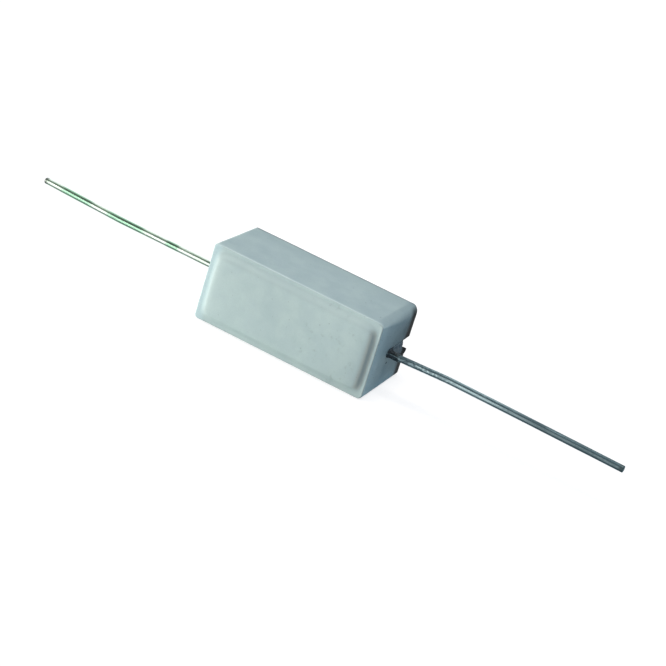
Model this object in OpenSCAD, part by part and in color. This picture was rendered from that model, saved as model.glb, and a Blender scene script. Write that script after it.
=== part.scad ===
// Axial wirewound power resistor: a wound element potted with cement in a ceramic trough, with a wire lead at each end.
// The case is drawn in its own frame: X along the length, Y from the front rim into the depth, Z up from mid-height.
// stand() then lays its lower side wall flat on the ground, with the origin at the middle of that wall.

/* [Ceramic case] */
// Length of the case at its front rim
case_l = 22; // [18:0.5:30]
// Height of the case at its front rim
case_h = 9.45; // [8.7:0.05:12]
// Depth of the case from the front rim to the open back
case_d = 9.35; // [8.9:0.05:12]
// Draft of the two long side walls, in degrees
side_draft = 1.9; // [0.2:0.1:3]
// Draft of the two end walls, in degrees
end_draft = 1; // [0.2:0.1:3]
// Radius of the edge round the front rim
rim_edge_r = 0.25; // [0.2:0.05:0.4]
// Radius of the two long edges at the left end, and of the lower right one at the open back
corner_r = 0.45; // [0.4:0.05:1]
// Radius of the two softer long edges at the right end, at the front rim
soft_front_r = 0.65; // [0.4:0.05:1]
// Radius of the top right long edge at the open back
soft_back_r = 0.8; // [0.6:0.05:1.3]
// Bevel round the outer edge of the open back
back_bevel = 0.12; // [0.05:0.01:0.2]

/* [Raised panel] */
// Width of the flat rim round the raised panel
rim_w = 0.3; // [0.3:0.05:1.2]
// Width of the slope that leads up to the panel
slope_w = 0.9; // [0.3:0.05:1.1]
// Height of the panel above the rim
panel_raise = 0.55; // [0.1:0.05:0.6]
// Corner radius of the panel at the foot of its slope
panel_foot_r = 0.65; // [0.4:0.05:1.2]
// Corner radius of the panel's flat top
panel_top_r = 0.35; // [0.2:0.05:0.6]

/* [Trough] */
// Thickness of the front wall behind the rim
floor_t = 1.5; // [1.2:0.1:1.8]
// Thickness of a long side wall at the trough's floor
side_wall = 1.3; // [1:0.1:1.5]
// Thickness of an end wall at the trough's floor
end_wall = 1.8; // [1.2:0.1:2]
// Draft of the trough's walls, in degrees
trough_draft = 1; // [0:0.1:1.5]
// Corner radius of the trough's outline
trough_corner_r = 0.9; // [0.6:0.05:1.2]
// Radius between the trough's floor and its walls
trough_floor_r = 0.5; // [0.2:0.05:0.55]

/* [End slots] */
// Room between a lead and each side of its slot
slot_play = 0.1; // [0.06:0.01:0.2]
// How far the upper side of a slot's mouth flares out at the open back
mouth_top_flare = 0.06; // [0.02:0.01:0.6]
// How far its lower side flares out there
mouth_low_flare = 0.6; // [0.2:0.05:0.8]
// Depth of the flared mouth
mouth_depth = 1.45; // [0.8:0.05:2]

/* [Cement] */
// Cement under the element, between the end caps and the trough's floor
element_bed = 0.47; // [0.2:0.01:0.7]
// How far the cement stays below the open back
cement_recess = 1; // [0.4:0.1:1.8]
// Clearance between the cement and each thing that it is moulded against
fill_gap = 0.02; // [0.01:0.005:0.03]
// How far the cement in a slot stands out of the end wall
plug_proud = 0.08; // [0.02:0.01:0.2]
// Radius of the drop of cement at the top of a slot
drop_r = 0.42; // [0.3:0.01:0.44]
// How far that drop stands out of the end wall
drop_proud = 0.4; // [0.2:0.05:0.6]
// Length of the cement that clings to a lead outside the case
coat_l = 1.5; // [0.5:0.1:2]
// Thickness of that cement at the case
coat_root_t = 0.07; // [0.05:0.01:0.3]
// Thickness of that cement at its outer end
coat_tip_t = 0.06; // [0.04:0.01:0.09]

/* [Wound element] */
// Diameter of the core rod
core_d = 3.6; // [3:0.1:4]
// Length of the core rod
core_l = 13; // [9:0.5:13.5]
// Diameter of the resistance wire
wire_d = 0.3; // [0.2:0.02:0.36]
// Number of turns of the resistance wire
wire_turns = 12; // [6:1:14]
// Clearance between the wire and the rod that it is wound on
wind_gap = 0.03; // [0.02:0.005:0.05]
// Length of an end cap
cap_l = 3; // [2:0.1:3.2]
// Thickness of an end cap's sheet
cap_wall = 0.35; // [0.3:0.05:0.5]
// Clearance between an end cap and the core rod
cap_fit = 0.02; // [0.01:0.01:0.04]
// Radius of an end cap's shoulder
cap_shoulder_r = 0.3; // [0.1:0.05:0.5]

/* [Leads] */
// Diameter of a lead
lead_d = 0.8; // [0.6:0.02:0.9]
// Length of the left lead outside the case
lead_left_l = 24.6; // [20:0.2:40]
// Length of the right lead outside the case
lead_right_l = 29.4; // [25:0.1:45]
// Length of the weld bead where a lead meets its end cap
weld_l = 0.35; // [0.2:0.05:0.5]
// How far the weld bead is wider than the lead, all round
weld_flare = 0.22; // [0.1:0.02:0.3]
// Straight length of the left lead from the case to its bend
left_bend_at = 13.5; // [8:0.5:15]
// Upward bend of the left lead, in degrees
left_bend = 1.8; // [0.5:0.1:4]
// Straight length of the right lead from the case to its first bend
right_root_at = 0.2; // [0.1:0.1:1]
// Upward bend of the right lead there, in degrees
right_root_bend = 2.4; // [0.5:0.1:4]
// Straight length of the right lead after that bend
right_root_l = 5; // [3:0.5:7]
// Downward bend of the right lead after that straight, in degrees
right_knee_bend = 2.7; // [0.5:0.1:4]
// Downward sweep of the right lead after that, in degrees
right_sweep = 0.4; // [0.2:0.1:3]
// Length of that sweep
right_sweep_l = 9; // [6:0.5:10]
// Length of a short bend
bend_l = 1.5; // [1:0.1:2]
// How far a bent stretch is thinner than the straight ones, all round
bend_neck = 0.004; // [0.002:0.001:0.006]

/* [Hidden] */
hull_fn = 32;
curve_fn = 64;
// A cutter passes this far beyond the surface that it opens
cut = 1;
// A piece of a solid reaches this far into the next one
lap = 0.2;
// Angle between the points of an end cap's shoulder
shoulder_step = 15;
// Steps in a turn of the resistance wire, and sides of that wire
wind_steps_a_turn = 24;
wind_sides = 8;
wind_steps = round(wire_turns * wind_steps_a_turn);
lead_r = lead_d / 2;
core_r = core_d / 2;
cap_r = core_r + cap_fit + cap_wall;
lead_y = floor_t + element_bed + cap_r;
element_half = core_l / 2 + cap_fit + cap_wall;
wind_r = core_r + wind_gap + wire_d / 2;
wind_half = core_l / 2 - cap_l + cap_wall - wind_gap - wire_d / 2;
slot_half = lead_r + slot_play;
slot_end_y = case_d - mouth_depth;
cement_y = case_d - cement_recess;

// Half of the case's height and half of its length at a depth behind the rim
function outer_z(y) = case_h / 2 - (y - rim_edge_r) * tan(side_draft);
function outer_x(y) = case_l / 2 - (y - rim_edge_r) * tan(end_draft);
// Half of the trough's height and half of its length at a depth behind the rim
function trough_z(y) = case_h / 2 - side_wall + (y - floor_t) * tan(trough_draft);
function trough_x(y) = case_l / 2 - end_wall + (y - floor_t) * tan(trough_draft);
// Length of a lead inside the case, and lengths of the leads' last straights
buried_l = outer_x(lead_y) - element_half;
left_tip_l = lead_left_l - left_bend_at - bend_l;
right_tip_l = lead_right_l - right_root_at - bend_l - right_root_l - bend_l - bend_l - right_sweep_l;

// Lays the lower side wall on the ground, with the middle of its depth at the origin
module stand() {
    rotate([-side_draft, 0, 0])
        translate([0, -case_d / 2, outer_z(case_d / 2)])
            children();
}

// Puts its children at the four corners of a rectangle at depth y, with their own Z axis along the depth
module at_corners(half_x, half_z, y) {
    for (side = [-1, 1], level = [-1, 1])
        translate([side * half_x, y, level * half_z])
            rotate([-90, 0, 0])
                children();
}

// A disc whose rim is round
module round_disc(r, edge_r) {
    rotate_extrude($fn = hull_fn)
        intersection() {
            translate([r - edge_r, 0])
                circle(edge_r, $fn = hull_fn);
            translate([0, -edge_r])
                square([r, 2 * edge_r]);
        }
}

// The outside of the case behind its rim
module case_block() {
    back_y = case_d - back_bevel;
    hull()
        for (side = [-1, 1], level = [-1, 1]) {
            front_r = side > 0 ? soft_front_r : corner_r;
            back_r = side > 0 && level > 0 ? soft_back_r : corner_r;
            translate([side * (case_l / 2 - front_r), rim_edge_r, level * (case_h / 2 - front_r)])
                rotate([-90, 0, 0])
                    round_disc(front_r, rim_edge_r);
            translate([side * (outer_x(back_y) - back_r), back_y, level * (outer_z(back_y) - back_r)])
                rotate([-90, 0, 0])
                    cylinder(h = back_bevel, r1 = back_r, r2 = back_r - back_bevel, $fn = hull_fn);
        }
}

// The raised panel on the front, with its slope
module panel() {
    foot_inset = rim_w + panel_foot_r;
    top_inset = rim_w + slope_w + panel_top_r;
    hull() {
        at_corners(case_l / 2 - foot_inset, case_h / 2 - foot_inset, 0)
            cylinder(h = lap, r = panel_foot_r, $fn = hull_fn);
        at_corners(case_l / 2 - top_inset, case_h / 2 - top_inset, -panel_raise)
            cylinder(h = lap, r = panel_top_r, $fn = hull_fn);
    }
}

// The space inside the case up to a depth, smaller all round by a gap
module trough(gap, end_y) {
    corner_r = trough_corner_r - gap;
    floor_r = trough_floor_r - gap;
    floor_y = floor_t + gap + floor_r;
    hull() {
        at_corners(trough_x(floor_y) - gap - corner_r, trough_z(floor_y) - gap - corner_r, floor_y)
            round_disc(corner_r, floor_r);
        at_corners(trough_x(end_y) - gap - corner_r, trough_z(end_y) - gap - corner_r, end_y - lap)
            cylinder(h = lap, r = corner_r, $fn = hull_fn);
    }
}

// The narrow part of a slot, from its round bottom to a depth, smaller all round by a gap
module slot_outline(gap, end_y) {
    translate([lead_y, 0])
        circle(slot_half - gap, $fn = curve_fn);
    translate([lead_y, -(slot_half - gap)])
        square([end_y - lead_y, 2 * (slot_half - gap)]);
}

// The flared mouth of a slot, past the open back
module mouth_outline() {
    low_z = -slot_half - mouth_low_flare;
    top_z = slot_half + mouth_top_flare;
    polygon([
        [slot_end_y, -slot_half], [case_d, low_z], [case_d + cut, low_z],
        [case_d + cut, top_z], [case_d, top_z], [slot_end_y, slot_half]
    ]);
}

// Draws an outline of depth and height as a bar along X
module bar_along_x(start_x, end_x) {
    translate([start_x, 0, 0])
        rotate([90, 0, 90])
            linear_extrude(end_x - start_x)
                children();
}

// A cylinder or cone along X on the leads' own line
module rod_along_x(start_x, end_x, r1, r2) {
    translate([start_x, lead_y, 0])
        rotate([0, 90, 0])
            cylinder(h = end_x - start_x, r1 = r1, r2 = r2, $fn = curve_fn);
}

// Draws its children at the right end, and their mirror image at the left end
module both_ends() {
    children();
    mirror([1, 0, 0])
        children();
}

module ceramic_case() {
    color([0.7, 0.78, 0.77])
        stand()
            difference() {
                union() {
                    case_block();
                    panel();
                }
                trough(0, case_d + cut);
                both_ends()
                    bar_along_x(case_l / 2 - end_wall - cut, case_l / 2 + cut) {
                        slot_outline(0, slot_end_y + lap);
                        mouth_outline();
                    }
            }
}

// The cement in one slot, the drop at its top and what clings to the lead
module slot_cement() {
    drop_y = slot_end_y - drop_r;
    coat_root_x = outer_x(lead_y - lead_r - coat_root_t) + fill_gap;
    bar_along_x(case_l / 2 - end_wall - cut / 2, outer_x(lead_y) + plug_proud)
        slot_outline(fill_gap, slot_end_y);
    translate([outer_x(drop_y) + drop_proud - drop_r, drop_y, 0])
        sphere(drop_r, $fn = curve_fn);
    rod_along_x(coat_root_x, coat_root_x + coat_l, lead_r + coat_root_t, lead_r + coat_tip_t);
}

// The space that the element and its leads take up in the cement
module element_space() {
    wound_r = core_r + wind_gap + wire_d + fill_gap;
    reach = case_l / 2 + coat_l + cut;
    rod_along_x(-core_l / 2, core_l / 2, wound_r, wound_r);
    both_ends() {
        rod_along_x(core_l / 2 - cap_l, element_half + fill_gap, cap_r + fill_gap, cap_r + fill_gap);
        rod_along_x(0, reach, lead_r + fill_gap, lead_r + fill_gap);
        rod_along_x(0, element_half + weld_l + fill_gap, lead_r + weld_flare, lead_r + weld_flare);
    }
}

module cement_fill() {
    color([0.46, 0.49, 0.49])
        stand()
            difference() {
                union() {
                    trough(fill_gap, cement_y);
                    both_ends()
                        slot_cement();
                }
                element_space();
            }
}

module core_rod() {
    color([0.9, 0.88, 0.8])
        stand()
            rod_along_x(-core_l / 2, core_l / 2, core_r, core_r);
}

// A ring of points round the wire at step i of all the steps
function wind_ring(i) =
    let (turn = 360 * i / wind_steps_a_turn, x = wind_half * (2 * i / wind_steps - 1))
    [for (k = [0 : wind_sides - 1])
        let (a = 360 * k / wind_sides, r = wind_r + wire_d / 2 * cos(a))
        [x + wire_d / 2 * sin(a), r * cos(turn), r * sin(turn)]];

module resistance_wire() {
    points = [for (i = [0 : wind_steps]) each wind_ring(i)];
    last = wind_steps * wind_sides;
    start_face = [for (k = [0 : wind_sides - 1]) k];
    end_face = [for (k = [wind_sides - 1 : -1 : 0]) last + k];
    side_faces = [
        for (i = [0 : wind_steps - 1], k = [0 : wind_sides - 1])
            let (a = i * wind_sides + k, b = i * wind_sides + (k + 1) % wind_sides)
            each [[a, a + wind_sides, b], [b, a + wind_sides, b + wind_sides]]
    ];
    color([0.5, 0.47, 0.43])
        stand()
            translate([0, lead_y, 0])
                polyhedron(points, concat([start_face, end_face], side_faces));
}

// A pressed cup over the right end of the core rod
module end_cap() {
    inner_r = core_r + cap_fit;
    shoulder = [
        for (a = [-90 : shoulder_step : 0])
            [cap_r - cap_shoulder_r * (1 - cos(a)), cap_shoulder_r * (1 + sin(a))]
    ];
    translate([element_half, lead_y, 0])
        rotate([0, -90, 0])
            rotate_extrude($fn = curve_fn)
                polygon(concat(
                    [[0, 0]], shoulder,
                    [[cap_r, cap_l], [inner_r, cap_l], [inner_r, cap_wall], [0, cap_wall]]
                ));
}

module end_cap_right() {
    color([0.72, 0.73, 0.72])
        stand()
            end_cap();
}

module end_cap_left() {
    color([0.72, 0.73, 0.72])
        stand()
            mirror([1, 0, 0])
                end_cap();
}

// A bend of a lead from the origin, which starts along X and turns up, or down if it is negative
module bend_arc(turn, arc_l) {
    r = bend_radius(turn, arc_l);
    spare = asin(lap / r);
    mirror([0, 0, turn < 0 ? 1 : 0])
        translate([0, 0, r])
            rotate([90, 90, 0])
                rotate([0, 0, -spare])
                    rotate_extrude(angle = abs(turn) + 2 * spare, $fn = curve_fn)
                        translate([r, 0])
                            circle(lead_r - bend_neck, $fn = curve_fn);
}
function bend_radius(turn, arc_l) = arc_l * 180 / PI / abs(turn);

// A lead along X as straights and bends: each step is a straight length, a turn in degrees and the length of its arc
module lead_run(steps, i = 0) {
    straight = steps[i][0];
    turn = steps[i][1];
    arc_l = steps[i][2];
    rotate([0, 90, 0])
        cylinder(h = straight, r = lead_r, $fn = curve_fn);
    if (i + 1 < len(steps)) {
        r = bend_radius(turn, arc_l);
        translate([straight, 0, 0])
            bend_arc(turn, arc_l);
        translate([straight + r * sin(abs(turn)), 0, sign(turn) * r * (1 - cos(turn))])
            rotate([0, -turn, 0])
                lead_run(steps, i + 1);
    }
}

// The lead at the right end, from its weld to its tip
module lead(steps) {
    translate([element_half, lead_y, 0]) {
        rotate([0, 90, 0])
            cylinder(h = weld_l, r1 = lead_r + weld_flare - fill_gap, r2 = lead_r, $fn = curve_fn);
        lead_run(steps);
    }
}

module lead_left() {
    color([0.75, 0.8, 0.79])
        stand()
            mirror([1, 0, 0])
                lead([
                    [buried_l + left_bend_at, left_bend, bend_l],
                    [left_tip_l, 0, 0]
                ]);
}

module lead_right() {
    color([0.6, 0.64, 0.63])
        stand()
            lead([
                [buried_l + right_root_at, right_root_bend, bend_l],
                [right_root_l, -right_knee_bend, bend_l],
                [bend_l, -right_sweep, right_sweep_l],
                [right_tip_l, 0, 0]
            ]);
}

ceramic_case();
cement_fill();
core_rod();
resistance_wire();
end_cap_left();
end_cap_right();
lead_left();
lead_right();
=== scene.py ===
"""An axial power resistor in its cement-filled ceramic case, dressed and lit as in the photograph."""
import math
from collections import namedtuple

import bpy
import numpy as np
from mathutils import Matrix, Vector

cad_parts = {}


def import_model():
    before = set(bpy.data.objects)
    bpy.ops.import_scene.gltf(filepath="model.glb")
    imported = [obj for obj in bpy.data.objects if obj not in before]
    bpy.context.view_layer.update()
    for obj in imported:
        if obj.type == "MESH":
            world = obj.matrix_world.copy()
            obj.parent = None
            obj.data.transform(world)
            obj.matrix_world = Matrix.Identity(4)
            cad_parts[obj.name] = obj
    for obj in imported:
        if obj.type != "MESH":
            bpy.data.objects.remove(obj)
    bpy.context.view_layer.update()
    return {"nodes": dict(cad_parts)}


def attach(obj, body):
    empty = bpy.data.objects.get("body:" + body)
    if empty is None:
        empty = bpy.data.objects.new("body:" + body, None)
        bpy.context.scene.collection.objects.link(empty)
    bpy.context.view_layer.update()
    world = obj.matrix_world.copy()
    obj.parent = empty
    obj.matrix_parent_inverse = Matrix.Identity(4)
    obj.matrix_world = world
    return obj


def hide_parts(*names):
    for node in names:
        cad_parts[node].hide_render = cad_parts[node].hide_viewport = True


# Every shape is worked out in millimetres in the case's own frame (X along the length, Y from the
# front rim into the depth, Z up from mid-height). It is then stood on the ground in metres, as the
# CAD model is.
MM = 0.001

# The case
CASE_L, CASE_H, CASE_D = 22.0, 9.45, 9.35
SIDE_DRAFT, END_DRAFT, TROUGH_DRAFT = math.radians(1.9), math.radians(1.0), math.radians(1.0)
TAPER_START = 0.25
RIM_EDGE_R, BACK_EDGE_R, CORNER_R = 0.18, 0.15, 0.45
# The lower right edge narrows towards the back. The top right one widens, and it is rounded more down
# the end wall than along the top.
LOW_FRONT_R, LOW_BACK_R = 0.65, 0.45
SOFT_TOP_R, SOFT_END_R = (0.6, 0.75), (0.75, 1.0)
# That edge is shaded as if it were worn wider still
WORN_TOP_R, WORN_END_R = (1.2, 1.3), (0.5, 1.7)
# The panel's slope steepens over SLOPE_W, and then eases off quickly and slowly at once
RIM_W, PANEL_SHIFT = 0.27, 0.1
SLOPE_W, SLOPE_POWER = 0.6, 2.1
QUICK_SLOPE, QUICK_L, SLOW_SLOPE, SLOW_L = 0.68, 0.3, 0.11, 1.0
PANEL_BLEND = 0.5
# How far the whole skin stays inside the CAD model's, and how deep its long and short waves are
SKIN_INSET, SWELL_DEPTH, WEAR_DEPTH = 0.004, 0.006, 0.003
FLOOR_T, SIDE_WALL, END_WALL, TROUGH_CORNER_R, TROUGH_FLOOR_R = 1.5, 1.3, 1.8, 0.9, 0.5
LIP_R, SLOT_EDGE_R = 0.12, 0.07

# The wire leads
LEAD_R = 0.4
ELEMENT_BED, CAP_R = 0.47, 2.17
LEAD_Y = FLOOR_T + ELEMENT_BED + CAP_R
ELEMENT_HALF = 6.87
LEFT_L, RIGHT_L = 24.6, 29.4
BEND_L, WELD_L, WELD_R = 1.5, 0.35, 0.6
LEFT_BEND_AT, LEFT_BEND = 13.5, 1.8
RIGHT_ROOT_AT, RIGHT_ROOT_BEND, RIGHT_ROOT_L, RIGHT_KNEE_BEND = 0.2, 2.4, 5.0, 2.7
RIGHT_SWEEP, RIGHT_SWEEP_L = 0.4, 9.0
# The rings that a lead is built from, and how its skin waves and its root's lumps fade
RING_GAP, RING_SIDES, TIP_RINGS, TIP_CLEAR = 0.25, 32, 7, 0.02
FEWEST_STRAIGHT, FEWEST_BEND = 2, 4
SKIN_WAVE, SKIN_DEPTH, LUMP_WAVE, LUMP_FADE = 2.6, 0.010, 0.9, 3

# The slots and their cement
SLOT_HALF = LEAD_R + 0.1
SLOT_OVERRUN = 0.6
MOUTH_TOP_FLARE, MOUTH_LOW_FLARE, MOUTH_DEPTH = 0.06, 0.6, 1.45
SLOT_END_Y = CASE_D - MOUTH_DEPTH
CEMENT_Y = CASE_D - 1.0
FILL_GAP, LEAD_GAP = 0.02, 0.01
CEMENT_EDGE_R = 0.05
LUMP_DEPTH, GRIT_DEPTH, LEVEL_WAVE, LEVEL_ROUGH = 0.05, 0.02, 0.05, 0.6
# The cement's level sags in the middle, and climbs to the side walls and the end walls
SAG = 0.22
SIDE_CLIMB, SIDE_CLIMB_POWER = 0.16, 3
END_CLIMB, END_CLIMB_POWER, END_CLIMB_AT = 0.1, 6, 9.0
# The coat on the lead's root
COAT_L, COAT_ROOT_T, COAT_TIP_T = 1.5, 0.06, 0.05
COAT_START, COAT_ROUGH, COAT_WANDER, COAT_FILLET = 0.1, 0.4, 0.12, 0.16
# The plug in the slot, and the cement that clings to the slot's flanks
PLUG_PROUD, PLUG_BACK, PLUG_EDGE_R, FLANK_COAT = 0.04, 0.15, 0.08, 0.14
# The gap in front of the lead
GAP_R, GAP_STRETCH = 0.08, 3
# The smear on the end wall, from the slot's bottom to the lower lip of its mouth
SMEAR_START, SMEAR_END = (4.6, 0.05), (8.7, -1.0)
SMEAR_W, SMEAR_SPREAD, SMEAR_T, SMEAR_RISE = 0.25, 0.3, 0.1, 0.12
SMEAR_ROUGH, SMEAR_FILLET = 0.5, 0.08

# The nets' grids along X, Y and Z: from, to, the fine and the coarse step, and where the step is fine
SHELL_GRID = (
    (-11.3, 11.3, 0.08, 0.34, ((-11.2, -10.2), (10.2, 11.2))),
    (-0.75, 9.75, 0.07, 0.26, ((-0.7, 0.4), (8.0, 9.7))),
    (-4.9, 4.9, 0.075, 0.26, ((-4.8, -3.4), (-0.95, 0.95), (3.4, 4.8))),
)
POTTING_GRID = (
    (-12.9, 12.9, 0.06, 0.22, ((-12.7, -10.7), (10.7, 12.7))),
    (1.2, 9.6, 0.06, 0.3, ((3.4, 4.9), (7.3, 9.4))),
    (-3.8, 3.8, 0.06, 0.22, ((-1.5, 0.8),)),
)
STEP_GROWTH = 0.25
# How a net's points are pulled onto its surface: the probe's step, how many pulls, and the shares of
# the way and of the reach that a pull may take
PROBE, PULLS, PULL_SHARE, PULL_REACH = 1e-3, 4, 0.9, 0.6
FLATTEST, TINY = 1e-3, 1e-9


def outer_z(y):
    return CASE_H / 2 - (y - TAPER_START) * math.tan(SIDE_DRAFT)


def outer_x(y):
    return CASE_L / 2 - (y - TAPER_START) * math.tan(END_DRAFT)


def stand(points):
    """Points of the case's frame in millimetres, moved to the part's frame in metres."""
    p = np.asarray(points, float) + [0, -CASE_D / 2, outer_z(CASE_D / 2)]
    c, s = math.cos(SIDE_DRAFT), math.sin(SIDE_DRAFT)
    return np.stack([p[:, 0], p[:, 1] * c + p[:, 2] * s, -p[:, 1] * s + p[:, 2] * c], 1) * MM


# Fields: each gives the distance to a surface, negative inside, at arrays of points
def both(a, b, r):
    """Where both are inside, with a convex edge of radius r."""
    return np.hypot(np.maximum(a + r, 0), np.maximum(b + r, 0)) + np.minimum(np.maximum(a, b) + r, 0) - r


def either(a, b, r):
    """Where either is inside, with a concave fillet of radius r."""
    return -both(-a, -b, r)


def round_rect(x, z, half_x, half_z, rx, rz):
    """A rectangle whose corners are quarter ellipses."""
    qx, qz = np.abs(x) - half_x + rx, np.abs(z) - half_z + rz
    flat = np.maximum(qx - rx, qz - rz)
    qx, qz = np.maximum(qx, 0), np.maximum(qz, 0)
    far, steep = np.hypot(qx / rx, qz / rz), np.hypot(qx / rx ** 2, qz / rz ** 2)
    return np.where((qx > 0) & (qz > 0), (far - 1) * far / np.maximum(steep, TINY), flat)


class Ripple:
    """A smooth seeded noise between about -1 and 1, as a sum of waves in random directions."""
    waves = 18
    spread = (0.7, 1.5)
    level = 0.6

    def __init__(self, seed, wavelength):
        rng = np.random.default_rng(seed)
        direction = rng.normal(size=(self.waves, 3))
        direction /= np.linalg.norm(direction, axis=1)[:, None]
        self.k = direction * (2 * np.pi / (wavelength * rng.uniform(*self.spread, (self.waves, 1))))
        self.phase = rng.uniform(0, 2 * np.pi, self.waves)
        self.scale = math.sqrt(2 / self.waves) * self.level

    def __call__(self, x, y, z):
        total = 0
        for k, phase in zip(self.k, self.phase):
            total = total + np.sin(k[0] * x + k[1] * y + k[2] * z + phase)
        return total * self.scale


def trough_field(x, y, z):
    """The space inside the case, without its open side."""
    widening = (y - FLOOR_T) * math.tan(TROUGH_DRAFT)
    half_x, half_z = CASE_L / 2 - END_WALL + widening, CASE_H / 2 - SIDE_WALL + widening
    walls = round_rect(x, z, half_x, half_z, TROUGH_CORNER_R, TROUGH_CORNER_R)
    return both(walls, FLOOR_T - y, TROUGH_FLOOR_R)


def slot_flare(y, z):
    """How much wider than its narrow part the slot is, on the side of a height."""
    flare = np.where(z > 0, MOUTH_TOP_FLARE, MOUTH_LOW_FLARE)
    return np.clip((y - SLOT_END_Y) / MOUTH_DEPTH, 0, None) * flare


def slot_field(x, y, z):
    """The slot in either end wall, narrow round the lead and flared at the open back."""
    straight = np.abs(z) - SLOT_HALF - slot_flare(y, z)
    bottom = np.hypot(y - LEAD_Y, z) - SLOT_HALF
    outline = np.where(y > LEAD_Y, straight, bottom)
    return np.maximum(outline, CASE_L / 2 - END_WALL - SLOT_OVERRUN - np.abs(x))


def panel_height(x, z):
    """How far the panel stands over the rim: its slope steepens and then eases off."""
    past_x = np.abs(x - PANEL_SHIFT) - CASE_L / 2 + RIM_W
    past_z = np.abs(z) - CASE_H / 2 + RIM_W
    inset = -PANEL_BLEND * np.logaddexp(past_x / PANEL_BLEND, past_z / PANEL_BLEND)
    inside, past = np.clip(inset / SLOPE_W, 0, 1), np.clip(inset - SLOPE_W, 0, None)
    foot = (QUICK_SLOPE + SLOW_SLOPE) * SLOPE_W / SLOPE_POWER * inside ** SLOPE_POWER
    quick = QUICK_SLOPE * QUICK_L * (1 - np.exp(-past / QUICK_L))
    return foot + quick + SLOW_SLOPE * SLOW_L * (1 - np.exp(-past / SLOW_L))


case_swell = Ripple(seed=3, wavelength=7.0)
case_wear = Ripple(seed=5, wavelength=1.1)


def graded_r(front_r, back_r, t):
    return front_r + (back_r - front_r) * t


def case_field(x, y, z, top_r=SOFT_TOP_R, end_r=SOFT_END_R):
    """The case, with the front and back radii of its top right edge, along the top and the end."""
    t = np.clip(y / CASE_D, 0, 1)
    low_r = graded_r(LOW_FRONT_R, LOW_BACK_R, t)
    right_x = np.where(z > 0, graded_r(*top_r, t), low_r)
    right_z = np.where(z > 0, graded_r(*end_r, t), low_r)
    rx, rz = np.where(x > 0, right_x, CORNER_R), np.where(x > 0, right_z, CORNER_R)
    walls = round_rect(x, z, outer_x(y), outer_z(y), rx, rz)
    front = -y - panel_height(x, z)
    body = both(both(walls, front, RIM_EDGE_R), y - CASE_D, BACK_EDGE_R)
    body = both(body, -trough_field(x, y, z), LIP_R)
    body = both(body, -slot_field(x, y, z), SLOT_EDGE_R)
    skin = SWELL_DEPTH * (1 + case_swell(x, y, z)) + WEAR_DEPTH * (1 + case_wear(x, y, z))
    return body + SKIN_INSET + skin


def case_shading(x, y, z):
    """The field that the case's normals come from."""
    return case_field(x, y, z, WORN_TOP_R, WORN_END_R)


cement_swell = Ripple(seed=11, wavelength=3.1)
cement_lumps = Ripple(seed=12, wavelength=0.75)
cement_grit = Ripple(seed=13, wavelength=0.28)


def smear_field(side, y, z):
    """Cement that clings to the end wall."""
    along_y, along_z = SMEAR_END[0] - SMEAR_START[0], SMEAR_END[1] - SMEAR_START[1]
    t = (y - SMEAR_START[0]) * along_y + (z - SMEAR_START[1]) * along_z
    t = np.clip(t / (along_y ** 2 + along_z ** 2), 0, 1)
    away = np.hypot(y - SMEAR_START[0] - along_y * t, z - SMEAR_START[1] - along_z * t)
    width, height = SMEAR_W + SMEAR_SPREAD * t * t, SMEAR_T + SMEAR_RISE * t
    smear = (np.hypot(away / width, (side - outer_x(y)) / height) - 1) * height
    mouth = np.maximum(SLOT_END_Y - y, np.abs(z) - SLOT_HALF - slot_flare(y, z) + FLANK_COAT)
    return both(smear, -mouth, CEMENT_EDGE_R)


def fill_field(x, y, z, rough):
    """The cement in the trough, up to its uneven level."""
    side_climb = np.clip(np.abs(z) / (CASE_H / 2 - SIDE_WALL), 0, 1) ** SIDE_CLIMB_POWER
    end_climb = np.clip(np.abs(x) / END_CLIMB_AT, 0, 1) ** END_CLIMB_POWER
    level = CEMENT_Y - SAG + SIDE_CLIMB * side_climb + END_CLIMB * end_climb
    level = level + LEVEL_WAVE * cement_swell(x, y, z) + LEVEL_ROUGH * rough
    return both(trough_field(x, y, z), y - level, CEMENT_EDGE_R)


def cement_field(x, y, z):
    side, wall_x = np.abs(x), outer_x(LEAD_Y)
    lumps = cement_lumps(x, y, z)
    rough = LUMP_DEPTH * lumps + GRIT_DEPTH * cement_grit(x, y, z)
    plug = both(slot_field(x, y, z), side - outer_x(y) - PLUG_PROUD + rough, CEMENT_EDGE_R)
    plug = both(plug, y - SLOT_END_Y + PLUG_BACK + rough, PLUG_EDGE_R)
    smear = smear_field(side, y, z) + SMEAR_ROUGH * rough
    out = np.clip((side - wall_x) / COAT_L, 0, 1)
    coat = np.hypot(y - LEAD_Y, z) - LEAD_R - graded_r(COAT_ROOT_T, COAT_TIP_T, out)
    coat_end = side - wall_x - COAT_L + COAT_WANDER * (1 + lumps)
    coat = both(coat + COAT_ROUGH * np.abs(rough), coat_end, CEMENT_EDGE_R)
    coat = np.maximum(coat, wall_x - COAT_START - side)
    outside = either(either(plug, smear, SMEAR_FILLET), coat, COAT_FILLET)
    gap = np.hypot((y - LEAD_Y + SLOT_HALF) / GAP_R, (side - wall_x) / (GAP_STRETCH * GAP_R)) - 1
    outside = np.maximum(outside, -gap * GAP_R)
    cement = either(fill_field(x, y, z, rough), outside, CEMENT_EDGE_R)
    cement = np.maximum(cement, FILL_GAP - case_field(x, y, z))
    from_axis = np.hypot(y - LEAD_Y, z)
    bore = from_axis - LEAD_R - LEAD_GAP
    element = np.maximum(from_axis - CAP_R - FILL_GAP, side - ELEMENT_HALF - WELD_L - FILL_GAP)
    return np.maximum(np.maximum(cement, -bore), -element)


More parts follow.
